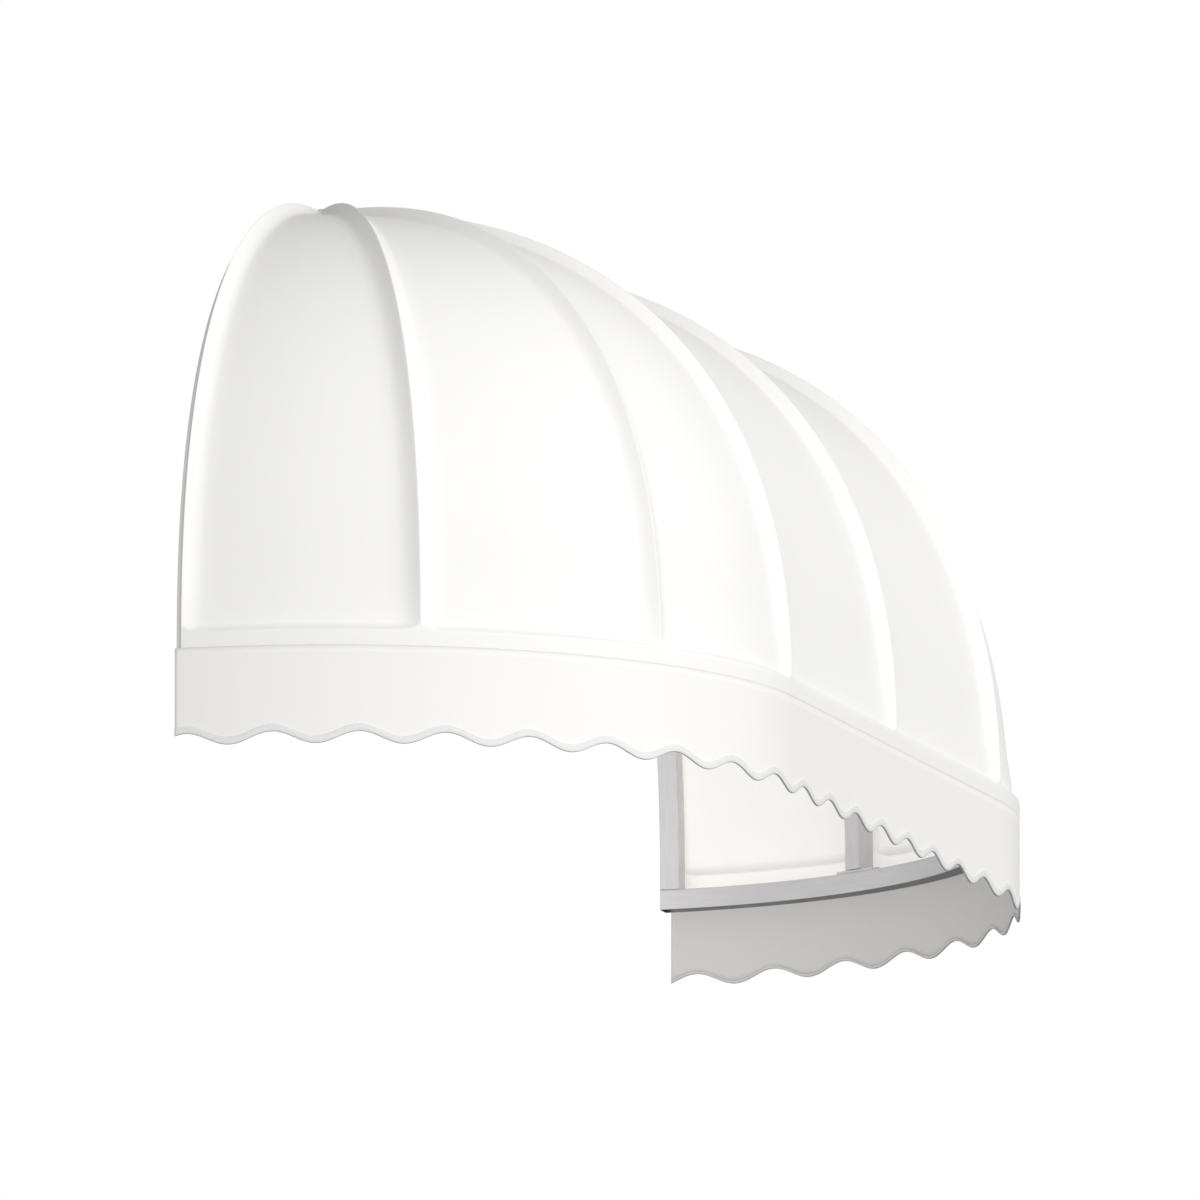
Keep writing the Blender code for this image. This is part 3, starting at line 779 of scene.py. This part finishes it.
def cloth_material(context, name="awning_cloth", tone_of="cloth"):
    """White awning cloth: plain weave, faint patches of tone and a dry sheen."""
    f = context.scene.awning_finish
    material, shader = base_material(name)
    if shader is None:
        return material
    tree = material.node_tree
    uv = node(tree, "ShaderNodeUVMap", uv_map="cloth").outputs[0]
    patches = mottle(tree, {"Vector": uv, "Scale": 7.0, "Low": 0.992, "High": 1.0})
    slubs = mottle(tree, {"Vector": uv, "Stretch": (1.0, 40.0, 1.0), "Scale": 40.0, "Low": 0.992, "High": 1.0})
    tone = maths(tree, "MULTIPLY", patches, slubs)
    tree.links.new(shaded(tree, getattr(f, tone_of), tone), shader.inputs["Base Color"])
    threads = weave(tree, {"Vector": uv, "Pitch": f.weave})
    rough = node(tree, "ShaderNodeMapRange", {0: threads, 3: 0.92, 4: 0.8}).outputs[0]
    tree.links.new(rough, shader.inputs["Roughness"])
    bump = node(tree, "ShaderNodeBump", {"Height": threads, "Strength": 0.12, "Distance": 0.0003})
    tree.links.new(bump.outputs[0], shader.inputs["Normal"])
    shader.inputs["Specular IOR Level"].default_value = 0.2
    shader.inputs["Sheen Weight"].default_value = 0.05
    shader.inputs["Sheen Roughness"].default_value = 0.5
    return material


def tape_material(context):
    """Binding tape: fine cross ribs, a row of stitches near its upper edge and slightly darker tone."""
    f = context.scene.awning_finish
    material, shader = base_material("binding_cloth")
    if shader is None:
        return material
    tree = material.node_tree
    uv = node(tree, "ShaderNodeUVMap", uv_map="cloth").outputs[0]
    parts = node(tree, "ShaderNodeSeparateXYZ", {0: uv})
    patches = mottle(tree, {"Vector": uv, "Scale": 220.0, "Low": 0.95, "High": 1.0})
    along = maths(tree, "PINGPONG", parts.outputs[0], 0.0016)
    dash = maths(tree, "LESS_THAN", along, 0.0011)
    off = maths(tree, "ABSOLUTE", maths(tree, "SUBTRACT", parts.outputs[1], 0.0030))
    line = maths(tree, "LESS_THAN", off, 0.00035)
    stitch = maths(tree, "MULTIPLY", dash, line)
    unstitched = maths(tree, "SUBTRACT", 1.0, maths(tree, "MULTIPLY", stitch, 0.10))
    tone = maths(tree, "MULTIPLY", patches, unstitched)
    tree.links.new(shaded(tree, f.tape, tone), shader.inputs["Base Color"])
    ribs = weave(tree, {"Vector": uv, "Pitch": 0.0008})
    height = maths(tree, "ADD", ribs, maths(tree, "MULTIPLY", stitch, 2.0))
    bump = node(tree, "ShaderNodeBump", {"Height": height, "Strength": 0.25, "Distance": 0.0003})
    tree.links.new(bump.outputs[0], shader.inputs["Normal"])
    shader.inputs["Roughness"].default_value = 0.85
    shader.inputs["Specular IOR Level"].default_value = 0.2
    return material


def metal_material(context, name="frame_metal", has_uv=True, tone_of="aluminium"):
    """Satin mill-finish aluminium: lines drawn along the tube, dull patches in tone and roughness."""
    f = context.scene.awning_finish
    material, shader = base_material(name)
    if shader is None:
        return material
    tree = material.node_tree
    if has_uv:
        where, stretch = node(tree, "ShaderNodeUVMap", uv_map="cloth").outputs[0], (1.0, 60.0, 1.0)
    else:
        where, stretch = node(tree, "ShaderNodeTexCoord").outputs["Object"], (1.0, 1.0, 8.0)
    lines = mottle(tree, {"Vector": where, "Stretch": stretch, "Scale": 18.0, "Low": 0.95, "High": 1.03})
    dull = mottle(tree, {"Vector": where, "Scale": 26.0, "Low": 0.36, "High": 0.46})
    tree.links.new(shaded(tree, getattr(f, tone_of), lines), shader.inputs["Base Color"])
    tree.links.new(dull, shader.inputs["Roughness"])
    bump = node(tree, "ShaderNodeBump", {"Height": lines, "Strength": 0.15, "Distance": 0.0002})
    tree.links.new(bump.outputs[0], shader.inputs["Normal"])
    shader.inputs["Metallic"].default_value = 0.4
    return material


# ---- Studio


class AWNING_OT_studio(Operator):
    """Pale floor, soft lights round the awning and the camera of the photograph"""

    bl_idname = "awning.studio"
    bl_label = "Studio"

    def execute(self, context):
        f = context.scene.awning_finish
        self.floor(context, f)
        self.light(context, f)
        self.camera(context)
        context.scene.view_settings.view_transform = "Standard"
        return {"FINISHED"}

    def floor(self, context, f):
        """Flat pale disc under the awning that fades out with distance and is seen from above only."""
        around = np.linspace(0.0, 2.0 * math.pi, FLOOR_POINTS, endpoint=False)
        mesh = bpy.data.meshes.new("studio_floor")
        edge = [(FLOOR_RADIUS * math.cos(a), FLOOR_RADIUS * math.sin(a), FLOOR_LEVEL) for a in around]
        mesh.from_pydata(edge, [], [tuple(range(FLOOR_POINTS))])
        material, shader = base_material("studio_floor")
        tree = material.node_tree
        where = node(tree, "ShaderNodeTexCoord").outputs["Object"]
        patches = mottle(tree, {"Vector": where, "Scale": 1.5, "Low": 0.98, "High": 1.0})
        tree.links.new(shaded(tree, f.floor, patches), shader.inputs["Base Color"])
        flat = node(tree, "ShaderNodeVectorMath", {0: where, 1: (1.0, 1.0, 0.0)}, operation="MULTIPLY").outputs[0]
        away = node(tree, "ShaderNodeVectorMath", {0: flat}, operation="LENGTH").outputs["Value"]
        stops = {0: away, 1: FADE_START, 2: FADE_END, 3: 1.0, 4: 0.0}
        fade = node(tree, "ShaderNodeMapRange", stops, interpolation_type="SMOOTHSTEP").outputs[0]
        front = maths(tree, "SUBTRACT", 1.0, node(tree, "ShaderNodeNewGeometry").outputs["Backfacing"])
        tree.links.new(maths(tree, "MULTIPLY", fade, front), shader.inputs["Alpha"])
        shader.inputs["Roughness"].default_value = 0.9
        mesh.materials.append(material)
        floor = bpy.data.objects.new("studio_floor", mesh)
        context.scene.collection.objects.link(floor)
        floor.visible_diffuse = floor.visible_glossy = floor.visible_shadow = False

    def light(self, context, f):
        """Sum of soft lights, each max(0, d . c)^8 for a direction d and a centre c, and a fill from the open back."""
        world = bpy.data.worlds.new("studio_light")
        context.scene.world = world
        world.use_nodes = True
        tree = world.node_tree
        tree.nodes.clear()
        where = node(tree, "ShaderNodeTexCoord").outputs["Generated"]
        total = 0.0
        for around, up, level in SOFT_LIGHTS:
            turn, climb = math.radians(around), math.radians(up)
            centre = (-math.cos(turn) * math.cos(climb), -math.sin(turn) * math.cos(climb), math.sin(climb))
            toward = node(tree, "ShaderNodeVectorMath", {0: where, 1: centre}, operation="DOT_PRODUCT").outputs["Value"]
            lobe = maths(tree, "POWER", maths(tree, "MAXIMUM", toward, 0.0), LOBE_POWER)
            total = maths(tree, "MULTIPLY_ADD", lobe, level * f.key, total)
        seen = node(tree, "ShaderNodeLightPath").outputs["Is Camera Ray"]
        shown = node(tree, "ShaderNodeMix", {0: seen, 2: total, 3: 1.0}, data_type="FLOAT").outputs[0]
        ground = node(tree, "ShaderNodeBackground", {"Color": (1.0, 1.0, 1.0, 1.0), "Strength": shown})
        out = node(tree, "ShaderNodeOutputWorld", {"Surface": ground.outputs[0]})
        out.is_active_output = True
        lamp = bpy.data.lights.new("fill_light", "POINT")
        lamp.energy = f.fill
        lamp.shadow_soft_size = 0.08
        lamp.use_shadow = False
        fill = bpy.data.objects.new("fill_light", lamp)
        fill.location = (*FILL_PLACE[:2], RIM_LEVEL + FILL_PLACE[2])
        fill.visible_camera = fill.visible_glossy = False
        context.scene.collection.objects.link(fill)

    def camera(self, context):
        """Far camera with a long lens that looks up at the awning from its left end."""
        side, climb = math.radians(CAMERA_TURN), math.radians(CAMERA_CLIMB)
        ahead = np.array([math.cos(side) * math.cos(climb), math.sin(side) * math.cos(climb), math.sin(climb)])
        target = np.array([*CAMERA_TARGET[:2], CAMERA_TARGET[2] + RIM_LEVEL])
        data = bpy.data.cameras.new("photo_camera")
        data.sensor_width = SENSOR_WIDTH
        data.lens = PIXELS_PER_METRE * CAMERA_DISTANCE * SENSOR_WIDTH / PHOTO_WIDTH
        data.clip_end = 200.0
        camera = bpy.data.objects.new("photo_camera", data)
        camera.location = target - ahead * CAMERA_DISTANCE
        camera.rotation_euler = (math.pi / 2 + climb, 0.0, side - math.pi / 2)
        context.scene.collection.objects.link(camera)
        context.scene.camera = camera


class AWNING_PT_panel(Panel):
    """Lists the awning's sizes, finishes and pieces"""

    bl_idname = "AWNING_PT_panel"
    bl_label = "Dome awning"
    bl_space_type = "VIEW_3D"
    bl_region_type = "UI"
    bl_category = "Awning"

    def draw(self, context):
        for group in (context.scene.awning_sizes, context.scene.awning_finish):
            box = self.layout.box()
            for key in group.__annotations__:
                box.prop(group, key)
        for operator in OPERATORS:
            self.layout.operator(operator.bl_idname)


OPERATORS = (AWNING_OT_cover, AWNING_OT_valance, AWNING_OT_ribs, AWNING_OT_wall_frame, AWNING_OT_rail, AWNING_OT_studio)
CLASSES = (AwningSizes, AwningFinish, *OPERATORS, AWNING_PT_panel)


def register():
    for made in CLASSES:
        bpy.utils.register_class(made)
    bpy.types.Scene.awning_sizes = PointerProperty(type=AwningSizes)
    bpy.types.Scene.awning_finish = PointerProperty(type=AwningFinish)


def unregister():
    del bpy.types.Scene.awning_finish
    del bpy.types.Scene.awning_sizes
    for made in reversed(CLASSES):
        bpy.utils.unregister_class(made)


def main():
    register()
    bpy.ops.awning.cover()
    bpy.ops.awning.valance()
    bpy.ops.awning.ribs()
    bpy.ops.awning.wall_frame()
    bpy.ops.awning.rail()
    bpy.ops.awning.studio()
    bpy.context.view_layer.update()


if __name__ == "__main__":
    main()
